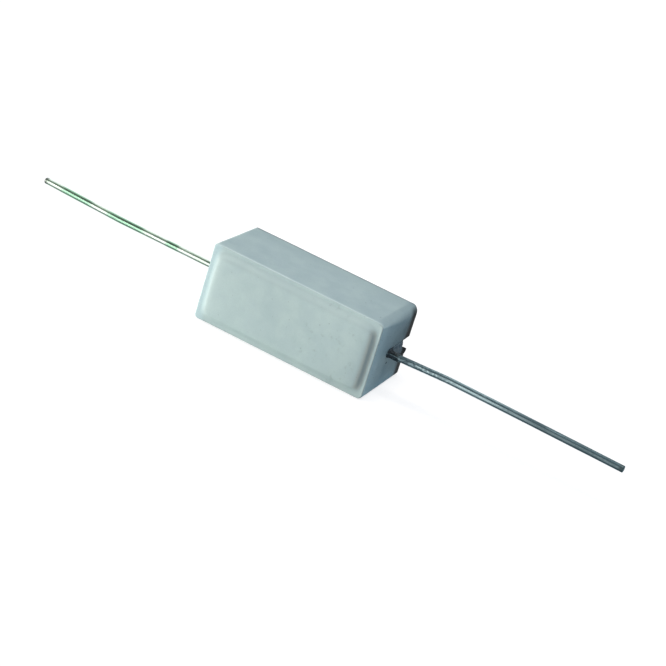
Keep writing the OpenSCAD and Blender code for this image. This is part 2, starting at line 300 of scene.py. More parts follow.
def graded(start, stop, fine, coarse, zones):
    """Places from start to stop, a fine step apart in the zones, growing to a coarse one."""
    places, at = [start], start
    while at < stop:
        away = min([max(lo - at, at - hi, 0) for lo, hi in zones])
        at += min(coarse, fine + STEP_GROWTH * away)
        places.append(at)
    return np.array(places)


def slope(of, points):
    """The gradient of a field at points."""
    out = np.empty_like(points)
    for a in range(3):
        shift = np.zeros(3)
        shift[a] = PROBE
        out[:, a] = (of(*(points + shift).T) - of(*(points - shift).T)) / (2 * PROBE)
    return out


def crossings(value, grid, cells):
    """For each cell, the sum of the places where its edges cross the surface, and their number."""
    total, count = np.zeros(cells + (3,)), np.zeros(cells)
    for axis in range(3):
        others = [a for a in range(3) if a != axis]
        for da in (0, 1):
            for db in (0, 1):
                low = [slice(None)] * 3
                for a, d in zip(others, (da, db)):
                    low[a] = slice(d, cells[a] + d)
                high = list(low)
                low[axis], high[axis] = slice(0, cells[axis]), slice(1, cells[axis] + 1)
                v0, v1 = value[tuple(low)], value[tuple(high)]
                crossed = (v0 < 0) != (v1 < 0)
                t = np.where(crossed, v0 / np.where(crossed, v0 - v1, 1), 0)
                for a in range(3):
                    g = grid[a]
                    place = g[tuple(low)] + t * (g[tuple(high)] - g[tuple(low)])
                    total[..., a] += np.where(crossed, place, 0)
                count += crossed
    return total, count


def surface_net(field, axes, shading=None):
    """The surface where a field is zero, as a closed mesh of quads: points, faces and normals."""
    axes = [graded(*axis) for axis in axes]
    grid = np.meshgrid(*axes, indexing="ij")
    value = field(*grid)
    inside = value < 0
    cells = tuple(n - 1 for n in value.shape)
    total, count = crossings(value, grid, cells)
    active = count > 0
    index = np.full(cells, -1)
    index[active] = np.arange(active.sum())
    points = total[active] / count[active][:, None]
    where = np.argwhere(active)
    reach = np.stack([np.diff(a)[where[:, k]] for k, a in enumerate(axes)], 1)
    home = points.copy()
    for _ in range(PULLS):
        g = slope(field, points)
        steep = np.maximum((g ** 2).sum(1), FLATTEST)
        points = points - PULL_SHARE * (field(*points.T) / steep)[:, None] * g
        points = np.clip(points, home - PULL_REACH * reach, home + PULL_REACH * reach)
    normals = slope(shading or field, points)
    normals /= np.maximum(np.linalg.norm(normals, axis=1), TINY)[:, None]
    faces = []
    for axis in range(3):
        a, b = (axis + 1) % 3, (axis + 2) % 3
        low, high = [slice(None)] * 3, [slice(None)] * 3
        low[axis], high[axis] = slice(0, -1), slice(1, None)
        starts, ends = inside[tuple(low)], inside[tuple(high)]
        for sign, hit in ((1, starts & ~ends), (-1, ~starts & ends)):
            at = np.argwhere(hit)
            at = at[(at[:, a] > 0) & (at[:, b] > 0) & (at[:, a] < cells[a]) & (at[:, b] < cells[b])]
            corners = []
            for da, db in ((0, 0), (1, 0), (1, 1), (0, 1))[::sign]:
                cell = at.copy()
                cell[:, a] -= 1 - da
                cell[:, b] -= 1 - db
                corners.append(index[tuple(cell.T)])
            faces.append(np.stack(corners, 1))
    return points, np.concatenate(faces), normals


def new_piece(name, points, faces, normals=None):
    """A mesh object from points in the case's frame, shaded smooth."""
    mesh = bpy.data.meshes.new(name)
    mesh.from_pydata(stand(points).tolist(), [], [list(map(int, f)) for f in faces])
    mesh.validate()
    mesh.update()
    mesh.shade_smooth()
    if normals is not None:
        turned = stand(normals) - stand(np.zeros((1, 3)))
        turned /= np.linalg.norm(turned, axis=1)[:, None]
        mesh.normals_split_custom_set_from_vertices(turned.tolist())
    obj = bpy.data.objects.new(name, mesh)
    bpy.context.scene.collection.objects.link(obj)
    return obj


def dress(piece, node, material):
    """Puts a piece in the place of a CAD node, with a finish of its own."""
    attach(piece, "root")
    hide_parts(node)
    piece.data.materials.clear()
    piece.data.materials.append(material)


# Shapes
def ceramic_shell():
    return new_piece("ceramic_shell", *surface_net(case_field, SHELL_GRID, case_shading))


def cement_potting():
    return new_piece("cement_potting", *surface_net(cement_field, POTTING_GRID))


def ahead(angle):
    return np.array([math.cos(angle), math.sin(angle)])


def lead_path(steps):
    """Places and headings along a lead in its upright plane, from its weld, in steps of a straight
    length, a turn in degrees and the length of its arc."""
    places, heading, at, angle = [], [], np.zeros(2), 0.0
    for straight, turn, arc in steps:
        n = max(FEWEST_STRAIGHT, int(straight / RING_GAP))
        for t in np.linspace(0, straight, n, endpoint=False):
            places.append(at + t * ahead(angle))
            heading.append(angle)
        at = at + straight * ahead(angle)
        if turn:
            bend, n = math.radians(turn), max(FEWEST_BEND, int(arc / RING_GAP))
            for _ in range(n):
                places.append(at.copy())
                heading.append(angle)
                angle += bend / n
                at = at + arc / n * ahead(angle - bend / n / 2)
    places.append(at)
    heading.append(angle)
    return np.array(places), np.array(heading)


def lead_wire(name, side, steps, seed, root_lumps, tip_r, thin):
    """A drawn wire with a weld bead at its cap, a slightly uneven skin and a cut tip."""
    places, heading = lead_path(steps)
    run = np.concatenate([[0], np.cumsum(np.linalg.norm(np.diff(places, axis=0), axis=1))])
    length = run[-1]
    tip = length - tip_r * (1 - np.cos(np.linspace(0, np.pi / 2, TIP_RINGS)[::-1]))
    stations = np.concatenate([run[run < tip[0] - TIP_CLEAR], tip])
    x = np.interp(stations, run, places[:, 0])
    z = np.interp(stations, run, places[:, 1])
    angle = np.interp(stations, run, heading)
    skin, lumps = Ripple(seed, SKIN_WAVE), Ripple(seed + 1, LUMP_WAVE)
    around = np.arange(RING_SIDES) * 2 * np.pi / RING_SIDES
    rings, faces = [], []
    for s, px, pz, a in zip(stations, x, z, angle):
        r = LEAD_R
        if s > length - tip_r:
            r = LEAD_R - tip_r + math.sqrt(max(tip_r ** 2 - (s - length + tip_r) ** 2, 0))
        if s < WELD_L:
            r = LEAD_R + (WELD_R - LEAD_R) * (1 - s / WELD_L) ** 2
        out = s - BURIED
        lump = root_lumps * math.exp(-max(out, 0) / LUMP_FADE) if out > 0 else 0
        y0, z0 = r * np.cos(around), r * np.sin(around)
        uneven = 1 - SKIN_DEPTH * (1 + skin(s, y0, z0)) - lump * (1 + lumps(s, y0 * 2, z0 * 2)) / 2
        uneven = uneven - thin * min(max(out, 0), 1)
        y0, z0 = y0 * uneven, z0 * uneven
        along = side * (ELEMENT_HALF + px - z0 * math.sin(a))
        rings.append(np.stack([along, LEAD_Y + y0, pz + z0 * math.cos(a)], 1))
    for i in range(len(rings) - 1):
        here, there = i * RING_SIDES, (i + 1) * RING_SIDES
        for k in range(RING_SIDES):
            j = (k + 1) % RING_SIDES
            faces.append((here + k, here + j, there + j, there + k)[::side])
    first = list(range(RING_SIDES))
    last = [(len(rings) - 1) * RING_SIDES + k for k in first]
    faces += [first[::-side], last[::side]]
    return new_piece(name, np.concatenate(rings), faces)


# How long the part of a lead is that lies inside the case
BURIED = outer_x(LEAD_Y) - ELEMENT_HALF


# Materials
# Every colour is given from 0 to 255. A tone has a share, which is how much of its colour is mixed in at
# most, and a reach: where it begins, and where it is full. Reaches are in millimetres along the case, up
# from the ground or behind the case's middle, except those of a facing or a noise, which go from 0 to 1.
Tone = namedtuple("Tone", "colour share reach")
RIGHTWARD, FORWARD, UPWARD = (1, 0, 0), (0, -1, 0), (0, 0, 1)
# How squarely a face looks to the front, up or to an end before it counts as such
FRONT_FACING, TOP_FACING, END_FACING = (0.45, 0.75), (0.6, 0.9), (0.55, 0.85)

# The fired ceramic, with the noises that vary it
PALE_CERAMIC, CLOUDY_CERAMIC = (183, 203, 200), (178, 198, 197)
CLOUD_NOISE, CLOUD_RANGE = {"per_mm": 0.5, "seed": 3.0}, (0.35, 0.65)
PATCH_NOISE, PATCH_RANGE = {"per_mm": 0.55, "detail": 4.0, "seed": 8.0}, (0.4, 0.75)
PATCH_COLOUR, PATCH_SHARE = (166, 188, 188), 0.4
GRAIN_NOISE = {"per_mm": 6.0, "roughness": 0.6, "seed": 1.0}
GRAIN = Tone((162, 180, 178), 0.16, (0.3, 0.7))
BUMP_NOISE = {"per_mm": 1.4, "detail": 2.0, "seed": 2.0}
BUMP_SHARE, CERAMIC_BUMP, CERAMIC_BUMP_STRENGTH = 0.8, 0.012, 0.5
CERAMIC_GLOSS, CERAMIC_ROUGH_RANGE, CERAMIC_ROUGH = 0.1, (0.2, 0.8), (0.58, 0.74)
# Painted light makes the front face lighter towards its lower left, and painted shade darker towards its
# lower right
TO_LOW_LEFT, TO_LOW_RIGHT = (-0.8, 0, -0.6), (0.8, 0, -0.6)
LOW_LEFT_LIGHT = Tone((204, 226, 224), 0.3, (-4.0, 8.0))
LOW_RIGHT_SHADE = Tone((160, 178, 178), 0.4, (1.0, 7.0))
# Painted highlights on the left and right rims, and painted shade on the panel's right and top slopes,
# the slopes told by their facing
LEFT_RIM_HIGHLIGHT = Tone((200, 227, 230), 0.65, (-9.6, -10.5))
RIGHT_RIM_HIGHLIGHT = Tone((212, 232, 228), 0.15, (10.45, 10.7))
RIGHT_SLOPE_SHADE = Tone((186, 188, 174), 0.6, (0.12, 0.4))
TOP_SLOPE_SHADE = Tone((158, 176, 176), 0.45, (0.1, 0.35))
# Painted shade darkens the top face towards its back and its right
TOP_SHADE_BACK, TOP_SHADE_BACK_SHARES = (0.5, 4.5), (0.0, 0.3)
TOP_SHADE_RIGHT, TOP_SHADE_RIGHT_SHARES = (3.0, 10.0), (0.0, 0.2)
TOP_SHADE_COLOUR = (154, 174, 174)
# Small dark specks, more of them to the right, and smudges on the panel's right part
SPECKS, SPECK_COLOUR = {"per_mm": 0.9, "size": 0.08, "seed": 5.0}, (112, 124, 122)
SPECK_REACH, SPECK_SHARES = (-2.0, 8.0), (0.25, 0.6)
SMUDGE_NOISE = {"per_mm": 2.2, "detail": 4.0, "roughness": 0.65, "seed": 11.0}
SMUDGE_RANGE, SMUDGE_PATCH = (0.52, 0.68), (0.1, 0.6)
SMUDGE_BAND, SMUDGE_COLOUR, SMUDGE_SHARE = (0.0, 4.0, 8.0, 10.0), (142, 156, 154), 0.4
# Painted light makes the end walls and the top lighter at the front edge, and the end walls lighter at
# the bottom too
FRONT_EDGE_LIGHT = Tone((218, 236, 232), 0.35, (-4.1, -4.6))
END_FRONT_LIGHT = Tone((212, 232, 228), 0.4, (-2.0, -4.3))
END_LOW_LIGHT = Tone((208, 228, 224), 0.7, (2.0, 0.3))
# Painted shade darkens the end walls towards the back, most of all at one height
END_SHADE = Tone((80, 91, 92), 0.9, (-4.6, 5.0))
END_SHADE_HEIGHT, END_SHADE_SPREAD, END_SHADE_SHARES = 4.9, (0.8, 5.2), (1.0, 0.1)
END_SHADE_PATCH_SHARES = (0.8, 1.0)
# Painted shade along the open back: a dark line which wanders, and is wider on the end walls
EDGE_NOISE, EDGE_WANDER = {"per_mm": 1.1, "seed": 6.0}, 0.12
BACK_EDGE_SHADE = Tone((70, 74, 74), 0.6, (4.25, 4.6))
END_EDGE_SHADE = Tone((28, 32, 34), 0.97, (2.4, 3.9))
END_EDGE_SHADE_HEIGHT, END_EDGE_SHADE_SHARES = (9.1, 7.9), (0.35, 1.0)
END_SPECKS, END_SPECK_COLOUR = {"per_mm": 1.6, "size": 0.13, "seed": 7.0}, (62, 70, 74)
END_SPECK_SHARE = 0.5
# Painted shade in the jaws and the flanks of the slot's mouth: a height, how far it spreads, and how
# deep it begins
SLOT_SHADE_BLACK = (22, 26, 28)
JAW_HEIGHT, JAW_SPREAD, JAW_DEPTH, JAW_SHARE = 4.6, (1.5, 1.2), (3.2, 3.7), 0.95
FLANK_HEIGHT, FLANK_SPREAD, FLANK_DEPTH, FLANK_SHARE = 4.9, (0.36, 0.2), (2.2, 3.0), 0.9
# One small pit in the right end wall, placed in the case's frame
PIT_AT, PIT_R, PIT_CORE, PIT_COLOUR = (10.93, 4.35, -1.3), 0.2, 0.4, (46, 50, 52)

# The potting cement: dark and sandy, with painted light above the slot, painted shade on the lead's
# coat, and painted shade nearly black at its open back
PALE_CEMENT, DARK_CEMENT = (128, 140, 142), (98, 108, 110)
CEMENT_NOISE, CEMENT_RANGE = {"per_mm": 0.9, "detail": 4.0, "seed": 4.0}, (0.35, 0.7)
SAND_NOISE = {"per_mm": 9.0, "detail": 4.0, "roughness": 0.7, "seed": 2.0}
SAND = Tone((146, 156, 156), 0.5, (0.45, 0.7))
CEMENT_SPECKS, CEMENT_SPECK_COLOUR = {"per_mm": 2.2, "size": 0.16, "seed": 9.0}, (60, 62, 62)
CEMENT_END_FACING, OUTSIDE = (0.5, 0.8), (10.0, 10.4)
PLUG_TOP_LIGHT = Tone((150, 166, 166), 0.8, (4.7, 5.0))
COAT_SHADE = Tone((52, 58, 62), 0.75, (0.8, 0.2))
CEMENT_BACK_SHADE = Tone((20, 23, 25), 0.95, (2.6, 3.4))
CEMENT_GLOSS, CEMENT_ROUGH_RANGE, CEMENT_ROUGH = 0.15, (0.2, 0.8), (0.8, 0.95)
CEMENT_BUMP, CEMENT_BUMP_STRENGTH = 0.05, 0.8

# Drawn tinned wire: fine lines along its length, tarnished patches and mottling
DRAWN_NOISE, DRAWN_RANGE = {"per_mm": 6.0, "stretch": (0.05, 1, 1)}, (0.35, 0.65)
TARNISH_NOISE = {"per_mm": 0.7, "detail": 4.0, "stretch": (0.5, 1, 1)}
TARNISH_RANGE = (0.45, 0.7)
MOTTLE_NOISE, MOTTLE_WIDTH = {"per_mm": 4.5, "stretch": (0.7, 1, 1)}, 0.12
MOTTLE_REACH, MOTTLE_SHARES = (15.0, 22.0), (1.0, 0.2)
# The side of a lead that its upper line of painted dark reflection faces (the lower line is opposite),
# and where each line begins, is full, begins to fade and ends, as shares of the lead's radius
DARK_REFLECTION_FACING = (0.0, 0.438, 0.899)
UPPER_DARK_REFLECTION, LOWER_DARK_REFLECTION, LOWER_REFLECTION_SHARE = (0.0, 0.28, 0.6, 0.88), (0.4, 0.58, 0.76, 0.96), 0.9
FADE_NOISE = {"per_mm": 0.35, "detail": 2.0, "stretch": (0.6, 0.1, 0.1)}
FADE_RANGE, FADE_SHARES = (0.3, 0.6), (0.8, 1.0)
# The left lead's greenish stretches, where its upper line of painted dark reflection turns dark green:
# where each begins, is full, begins to fade and ends
GREEN_STRETCHES = (
    (-33.6, -32.5, -29.4, -28.4),
    (-27.2, -26.1, -22.2, -21.2),
    (-18.8, -18.2, -17.2, -16.6),
)
GREEN, GREEN_SHARE, GREEN_DARK_REFLECTION, GREEN_REFLECTION_SHARE = (150, 200, 172), 0.9, (34, 48, 40), 0.6
# Painted shade darkens the right lead's upper side at its root, and all of it grows darker towards its
# tip
ROOT_SHADE_FACING, ROOT_SHADE_BAND, ROOT_SHADE_SHARE = (0.35, 0.6), (10.0, 11.0, 15.0, 17.0), 0.6
DARKER_REACH, DARKER_SHARE = (21.0, 31.0), 0.7
# The cut tips, darkened with painted shade
LEFT_TIP_SHADE, RIGHT_TIP_SHADE, TIP_SHADE_COLOUR, TIP_SHADE_SHARE = (-34.8, -35.4), (39.6, 40.1), (62, 68, 66), 0.85
WIRE_ROUGH_RANGE, WIRE_ROUGH = (0.3, 0.7), (0.36, 0.5)
TARNISH_ROUGH_RANGE, TARNISH_ROUGH = (0.45, 0.75), (0.0, 0.2)
MOTTLE_BUMP_SHARE, WIRE_BUMP_STRENGTH = 0.7, 0.5
# Each lead's colours, how much tarnish and mottling it has, and how deep its bumps are. The left lead's
# colours hold painted light and the right lead's painted shade, besides their own tarnish
LIT_BRIGHT_WIRE = {
    "clean": (226, 240, 234), "dull": (202, 222, 210), "tarnish": (150, 186, 158), "line": (70, 86, 78),
    "edge": (240, 250, 246), "tarnish_share": 0.5, "mottle": (0.6, 0.5), "relief": 0.012, "seed": 2.0,
    "stretches": GREEN_STRETCHES,
}
SHADED_DULL_WIRE = {
    "clean": (166, 188, 193), "dull": (132, 154, 160), "tarnish": (82, 100, 107), "line": (46, 62, 69),
    "edge": (184, 206, 212), "tarnish_share": 0.4, "mottle": (0.44, 0.8), "relief": 0.03, "seed": 5.0,
}

# The hidden pieces: two colours each, and the roughness of the metals
CORE_COLOURS, CORE_NOISE = ((232, 226, 208), (216, 210, 192)), {"per_mm": 3.0}
CORE_ROUGH_RANGE, CORE_ROUGH = (0.2, 0.8), (0.6, 0.8)
ALLOY_COLOURS, ALLOY_ROUGH = ((132, 124, 112), (110, 102, 92)), 0.35
STEEL_COLOURS, STEEL_ROUGH = ((190, 192, 190), (168, 170, 168)), 0.3
METAL_NOISE, METAL_ROUGH_RANGE, METAL_ROUGH_SPREAD = {"per_mm": 2.5}, (0.3, 0.7), 0.15
HIDDEN_RANGE = (0.35, 0.65)


def linear(colour):
    """A colour of 0 to 255 as Blender's linear values."""
    def one(v):
        v /= 255
        return v / 12.92 if v <= 0.04045 else ((v + 0.055) / 1.055) ** 2.4
    return tuple(one(v) for v in colour)


class Shader:
    """A small helper that adds nodes to a material, links them and keeps the colour so far."""
    # How a seed shifts a noise along X, Y and Z, and the share of a spot that is its full core
    noise_shift, spot_shift, spot_core = (1, 1.7, 0.6), (1, 2.3, 0.9), 0.5

    def __init__(self, name):
        self.material = bpy.data.materials.new(name)
        self.material.use_nodes = True
        self.tree = self.material.node_tree
        self.surface = self.tree.nodes["Principled BSDF"]
        place = self.add("ShaderNodeTexCoord")
        self.position, self.facing = place.outputs["Object"], place.outputs["Normal"]

    def add(self, kind, **settings):
        node = self.tree.nodes.new(kind)
        for key, value in settings.items():
            setattr(node, key, value)
        return node

    def link(self, out, into):
        self.tree.links.new(out, into)

    def mapped(self, per_mm, stretch, seed, shift):
        """The position, scaled and moved by a seed."""
        mapping = self.add("ShaderNodeMapping")
        mapping.inputs["Scale"].default_value = [per_mm / MM * s for s in stretch]
        mapping.inputs["Location"].default_value = [seed * s for s in shift]
        self.link(self.position, mapping.inputs["Vector"])
        return mapping.outputs["Vector"]

    def noise(self, per_mm, detail=3.0, stretch=(1, 1, 1), roughness=0.5, seed=0.0):
        node = self.add("ShaderNodeTexNoise")
        for socket, number in (("Scale", 1.0), ("Detail", detail), ("Roughness", roughness)):
            node.inputs[socket].default_value = number
        self.link(self.mapped(per_mm, stretch, seed, self.noise_shift), node.inputs["Vector"])
        return node.outputs["Fac"]

    def spots(self, per_mm, size, seed):
        """1 in small round spots scattered at random, 0 elsewhere."""
        node = self.add("ShaderNodeTexVoronoi", feature="F1")
        node.inputs["Scale"].default_value = 1.0
        self.link(self.mapped(per_mm, (1, 1, 1), seed, self.spot_shift), node.inputs["Vector"])
        return self.curve(node.outputs["Distance"], (size, size * self.spot_core))

    def math(self, operation, a, b=None):
        """A math node on a socket, and on another socket or a number."""
        node = self.add("ShaderNodeMath", operation=operation)
        self.link(a, node.inputs[0])
        if isinstance(b, float):
            node.inputs[1].default_value = b
        elif b is not None:
            self.link(b, node.inputs[1])
        return node.outputs[0]

    def times(self, first, *others):
        for other in others:
            first = self.math("MULTIPLY", first, other)
        return first

    def plus(self, a, b):
        return self.math("ADD", a, b)

    def off(self, value, centre):
        """How far a value is from a centre, either way."""
        return self.math("ABSOLUTE", self.math("SUBTRACT", value, centre))

    def along(self, vector, direction):
        """The part of a vector along a direction."""
        node = self.add("ShaderNodeVectorMath", operation="DOT_PRODUCT")
        self.link(vector, node.inputs[0])
        node.inputs[1].default_value = direction
        return node.outputs["Value"]

    def sideways(self, vector):
        """The part of a vector along the case, either way."""
        return self.math("ABSOLUTE", self.along(vector, RIGHTWARD))

    def depth(self):
        """The depth behind the front rim, less half the case's depth, in metres."""
        return self.along(self.position, (0, math.cos(SIDE_DRAFT), -math.sin(SIDE_DRAFT)))

    def near(self, point, radius_mm, core):
        """1 at a point of the case's frame, fading to 0 at a radius, and full within a share of it."""
        node = self.add("ShaderNodeVectorMath", operation="DISTANCE")
        self.link(self.position, node.inputs[0])
        node.inputs[1].default_value = stand([point])[0]
        return self.reach(node.outputs["Value"], (radius_mm, core * radius_mm))

    def curve(self, value, span, levels=(0.0, 1.0)):
        """A smooth step from one level to another, as a value goes through a span."""
        node = self.add("ShaderNodeMapRange", interpolation_type="SMOOTHSTEP")
        for socket, number in zip(("From Min", "From Max", "To Min", "To Max"), (*span, *levels)):
            node.inputs[socket].default_value = number
        self.link(value, node.inputs["Value"])
        return node.outputs["Result"]

    def reach(self, value, span, levels=(0.0, 1.0)):
        """A curve over a span in millimetres."""
        return self.curve(value, [v * MM for v in span], levels)

    def band(self, value, places, unit=1.0):
        """1 in a band, 0 outside: its places are where it begins, is full, begins to fade and ends."""
        places = [p * unit for p in places]
        return self.times(self.curve(value, places[:2]), self.curve(value, places[2:], (1.0, 0.0)))

    def mix(self, share, first, second):
        """Two colours mixed by a share, which is 0 for the first and 1 for the second."""
        node = self.add("ShaderNodeMix", data_type="RGBA")
        self.link(share, node.inputs["Factor"])
        for socket, colour in ((node.inputs[6], first), (node.inputs[7], second)):
            if isinstance(colour, tuple):
                socket.default_value = colour + (1.0,)
            else:
                self.link(colour, socket)
        return node.outputs[2]

    def begin(self, share, first, second):
        """Starts the surface's colour with two mixed colours of 0 to 255."""
        self.body = self.mix(share, linear(first), linear(second))

    def over(self, share, colour):
        """Mixes a colour of 0 to 255 over the surface's colour so far."""
        self.body = self.mix(share, self.body, linear(colour))

    def tone(self, value, tone, *where, unit=MM):
        """Mixes a tone over the surface where a value reaches it, times other shares."""
        share = self.curve(value, [v * unit for v in tone.reach], (0.0, tone.share))
        self.over(self.times(share, *where), tone.colour)

    def bump(self, height, depth_mm, strength):
        node = self.add("ShaderNodeBump")
        node.inputs["Distance"].default_value = depth_mm * MM
        node.inputs["Strength"].default_value = strength
        self.link(height, node.inputs["Height"])
        self.link(node.outputs["Normal"], self.surface.inputs["Normal"])

    def done(self, rough, uniform):
        """Gives the surface its colour, its roughness and its uniform values."""
        self.link(self.body, self.surface.inputs["Base Color"])
        self.link(rough, self.surface.inputs["Roughness"])
        for socket, value in uniform.items():
            self.surface.inputs[socket].default_value = value
        return self.material


def ceramic():
    s = Shader("fired_ceramic")
    patch = s.curve(s.noise(**PATCH_NOISE), PATCH_RANGE)
    grain = s.noise(**GRAIN_NOISE)
    out, up, depth = s.along(s.position, RIGHTWARD), s.along(s.position, UPWARD), s.depth()
    front = s.curve(s.along(s.facing, FORWARD), FRONT_FACING)
    top = s.curve(s.along(s.facing, UPWARD), TOP_FACING)
    ends = s.curve(s.sideways(s.facing), END_FACING)

    s.begin(s.curve(s.noise(**CLOUD_NOISE), CLOUD_RANGE), PALE_CERAMIC, CLOUDY_CERAMIC)
    s.over(s.times(patch, PATCH_SHARE), PATCH_COLOUR)
    # Painted light towards the front's lower left, and painted shade towards its lower right
    s.tone(s.along(s.position, TO_LOW_LEFT), LOW_LEFT_LIGHT, front)
    s.tone(s.along(s.position, TO_LOW_RIGHT), LOW_RIGHT_SHADE, front)
    # Painted shade on the top face towards its back and its right
    shade_back = s.reach(depth, TOP_SHADE_BACK, TOP_SHADE_BACK_SHARES)
    shade_right = s.reach(out, TOP_SHADE_RIGHT, TOP_SHADE_RIGHT_SHARES)
    s.over(s.times(s.plus(shade_back, shade_right), top), TOP_SHADE_COLOUR)
    # Painted highlights on the rims, and painted shade on the panel's right and top slopes
    s.tone(out, LEFT_RIM_HIGHLIGHT, front)
    s.tone(out, RIGHT_RIM_HIGHLIGHT, front)
    s.tone(s.along(s.facing, RIGHTWARD), RIGHT_SLOPE_SHADE, front, unit=1.0)
    s.tone(s.along(s.facing, UPWARD), TOP_SLOPE_SHADE, front, unit=1.0)
    s.tone(grain, GRAIN, unit=1.0)
    s.over(s.times(s.spots(**SPECKS), s.reach(out, SPECK_REACH, SPECK_SHARES)), SPECK_COLOUR)
    smudge = s.times(s.curve(s.noise(**SMUDGE_NOISE), SMUDGE_RANGE), s.curve(patch, SMUDGE_PATCH), front)
    s.over(s.times(smudge, s.band(out, SMUDGE_BAND, MM), SMUDGE_SHARE), SMUDGE_COLOUR)

    # Painted light at the front edge, and low on the end walls
    s.tone(depth, FRONT_EDGE_LIGHT, s.plus(ends, top))
    s.tone(depth, END_FRONT_LIGHT, ends)
    s.tone(up, END_LOW_LIGHT, ends)
    # Painted shade on the end walls towards the back
    height = s.reach(s.off(up, END_SHADE_HEIGHT * MM), END_SHADE_SPREAD, END_SHADE_SHARES)
    s.tone(depth, END_SHADE, ends, height, s.curve(patch, (0.0, 1.0), END_SHADE_PATCH_SHARES))
    # Painted shade along the open back, wider and darker on the end walls
    uneven = s.plus(depth, s.times(s.noise(**EDGE_NOISE), EDGE_WANDER * MM))
    s.tone(uneven, BACK_EDGE_SHADE)
    again = s.reach(uneven, END_EDGE_SHADE.reach)
    s.tone(uneven, END_EDGE_SHADE, again, ends, s.reach(up, END_EDGE_SHADE_HEIGHT, END_EDGE_SHADE_SHARES))
    s.over(s.times(ends, s.spots(**END_SPECKS), END_SPECK_SHARE), END_SPECK_COLOUR)
    # Painted shade in the slot mouth's jaws and flanks
    for height, spread, deep, share in (
            (JAW_HEIGHT, JAW_SPREAD, JAW_DEPTH, JAW_SHARE),
            (FLANK_HEIGHT, FLANK_SPREAD, FLANK_DEPTH, FLANK_SHARE)):
        level = s.reach(s.off(up, height * MM), spread)
        s.over(s.times(level, s.reach(depth, deep), share), SLOT_SHADE_BLACK)
    s.over(s.near(PIT_AT, PIT_R, PIT_CORE), PIT_COLOUR)

    relief = s.plus(grain, s.times(s.noise(**BUMP_NOISE), BUMP_SHARE))
    s.bump(relief, CERAMIC_BUMP, CERAMIC_BUMP_STRENGTH)
    rough = s.curve(grain, CERAMIC_ROUGH_RANGE, CERAMIC_ROUGH)
    return s.done(rough, {"Specular IOR Level": CERAMIC_GLOSS})


def cement():
    s = Shader("potting_cement")
    sand = s.noise(**SAND_NOISE)
    s.begin(s.curve(s.noise(**CEMENT_NOISE), CEMENT_RANGE), PALE_CEMENT, DARK_CEMENT)
    s.tone(sand, SAND, unit=1.0)
    s.over(s.spots(**CEMENT_SPECKS), CEMENT_SPECK_COLOUR)
    # Painted light on the plug above the slot
    s.tone(s.along(s.position, UPWARD), PLUG_TOP_LIGHT, s.curve(s.sideways(s.facing), CEMENT_END_FACING))
    outside = s.reach(s.sideways(s.position), OUTSIDE)
    # Painted shade on the lead's coat, and nearly black at the open back
    s.tone(s.depth(), COAT_SHADE, outside)
    s.tone(s.depth(), CEMENT_BACK_SHADE, outside)
    s.bump(sand, CEMENT_BUMP, CEMENT_BUMP_STRENGTH)
    rough = s.curve(sand, CEMENT_ROUGH_RANGE, CEMENT_ROUGH)
    return s.done(rough, {"Specular IOR Level": CEMENT_GLOSS})


def tinned(name, clean, dull, tarnish, line, edge, tarnish_share, mottle, relief, seed, stretches=()):
    """Drawn tinned wire: fine lines, tarnished patches, two lines of painted dark reflection and cut
    tips darkened with painted shade.
    """
    s = Shader(name)
    drawn = s.noise(seed=seed, **DRAWN_NOISE)
    patch = s.noise(seed=seed + 3, **TARNISH_NOISE)
    spots = s.noise(seed=seed + 6, **MOTTLE_NOISE)
    out, raised = s.along(s.position, RIGHTWARD), s.along(s.facing, DARK_REFLECTION_FACING)
    greens = [s.band(out, stretch, MM) for stretch in stretches]

    s.begin(s.curve(drawn, DRAWN_RANGE), clean, dull)
    s.over(s.times(s.curve(patch, TARNISH_RANGE), tarnish_share), tarnish)
    mottle_from, mottle_share = mottle
    mottled = s.curve(spots, (mottle_from, mottle_from + MOTTLE_WIDTH), (0.0, mottle_share))
    s.over(s.times(mottled, s.reach(out, MOTTLE_REACH, MOTTLE_SHARES)), tarnish)
    for green in greens:
        s.over(s.times(green, GREEN_SHARE), GREEN)
    # Two lines of painted dark reflection along the lead
    upper = s.band(raised, UPPER_DARK_REFLECTION)
    lower = s.times(s.band(s.along(s.facing, [-v for v in DARK_REFLECTION_FACING]), LOWER_DARK_REFLECTION), LOWER_REFLECTION_SHARE)
    fade = s.curve(s.noise(seed=seed + 1, **FADE_NOISE), FADE_RANGE, FADE_SHARES)
    s.over(s.times(s.plus(upper, lower), fade), line)
    # The upper painted dark reflection turns dark green in the green stretches
    for green in greens:
        s.over(s.times(green, upper, GREEN_REFLECTION_SHARE), GREEN_DARK_REFLECTION)
    # Painted shade on the right lead's upper side at its root, and on the cut tips
    s.over(s.times(s.curve(raised, ROOT_SHADE_FACING), s.band(out, ROOT_SHADE_BAND, MM), ROOT_SHADE_SHARE), line)
    s.over(s.times(s.plus(s.reach(out, LEFT_TIP_SHADE), s.reach(out, RIGHT_TIP_SHADE)), TIP_SHADE_SHARE), TIP_SHADE_COLOUR)
    s.over(s.reach(out, DARKER_REACH, (0.0, DARKER_SHARE)), line)

    s.bump(s.plus(drawn, s.times(spots, MOTTLE_BUMP_SHARE)), relief, WIRE_BUMP_STRENGTH)
    rough = s.curve(drawn, WIRE_ROUGH_RANGE, WIRE_ROUGH)
    rougher = s.curve(patch, TARNISH_ROUGH_RANGE, TARNISH_ROUGH)
    return s.done(s.plus(rough, rougher), {"Metallic": 1.0, "Specular Tint": linear(edge) + (1.0,)})


def plain_metal(name, colours, roughness):
    s = Shader(name)
    grain = s.noise(**METAL_NOISE)
    s.begin(s.curve(grain, HIDDEN_RANGE), *colours)
    rough = s.curve(grain, METAL_ROUGH_RANGE, (roughness, roughness + METAL_ROUGH_SPREAD))
    return s.done(rough, {"Metallic": 1.0})


